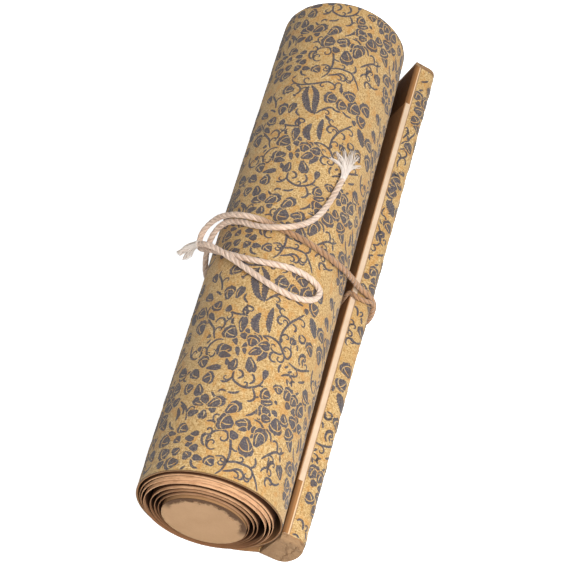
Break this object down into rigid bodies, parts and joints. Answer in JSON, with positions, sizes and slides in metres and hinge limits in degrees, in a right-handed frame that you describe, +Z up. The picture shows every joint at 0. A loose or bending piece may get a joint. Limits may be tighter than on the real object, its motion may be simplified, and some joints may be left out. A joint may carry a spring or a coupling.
{
  "type": "painted scroll",
  "caption": "Rolled painted scroll with a patterned cloth cover, a stave along its outer edge and a soft cord tied round its middle.",
  "frame": {"origin": "on the table, under the middle of the scroll's length and width, free cord left out", "axes": "+Y along the roll, towards its back end; +Z up; the stave lies at +X"},
  "size_m": [0.1031, 0.3039, 0.0777],
  "materials": {
    "rod_wood": "matte",
    "end_paper": "matte",
    "sheet_paper": "matte",
    "lining_paper": "matte",
    "cover_cloth": "matte",
    "stave_wood": "matte",
    "cap_paper": "matte",
    "border_paper": "matte",
    "cord_cotton": "matte"
  },
  "bodies": {
    "root": {"roller": "rod_wood", "roller_end_front": "end_paper", "roller_end_back": "end_paper", "painted_sheet": "sheet_paper", "lining_paper": "lining_paper", "cover_cloth": "cover_cloth", "stave": "stave_wood", "stave_end_front": "cap_paper", "stave_end_back": "cap_paper", "border_front": "border_paper", "border_back": "border_paper", "cord_pressed": "cord_cotton", "cord_hitch": "cord_cotton", "cord_over": "cord_cotton", "cord_under": "cord_cotton", "frayed_end_left": "cord_cotton", "frayed_end_right": "cord_cotton"}
  },
  "joints": []
}
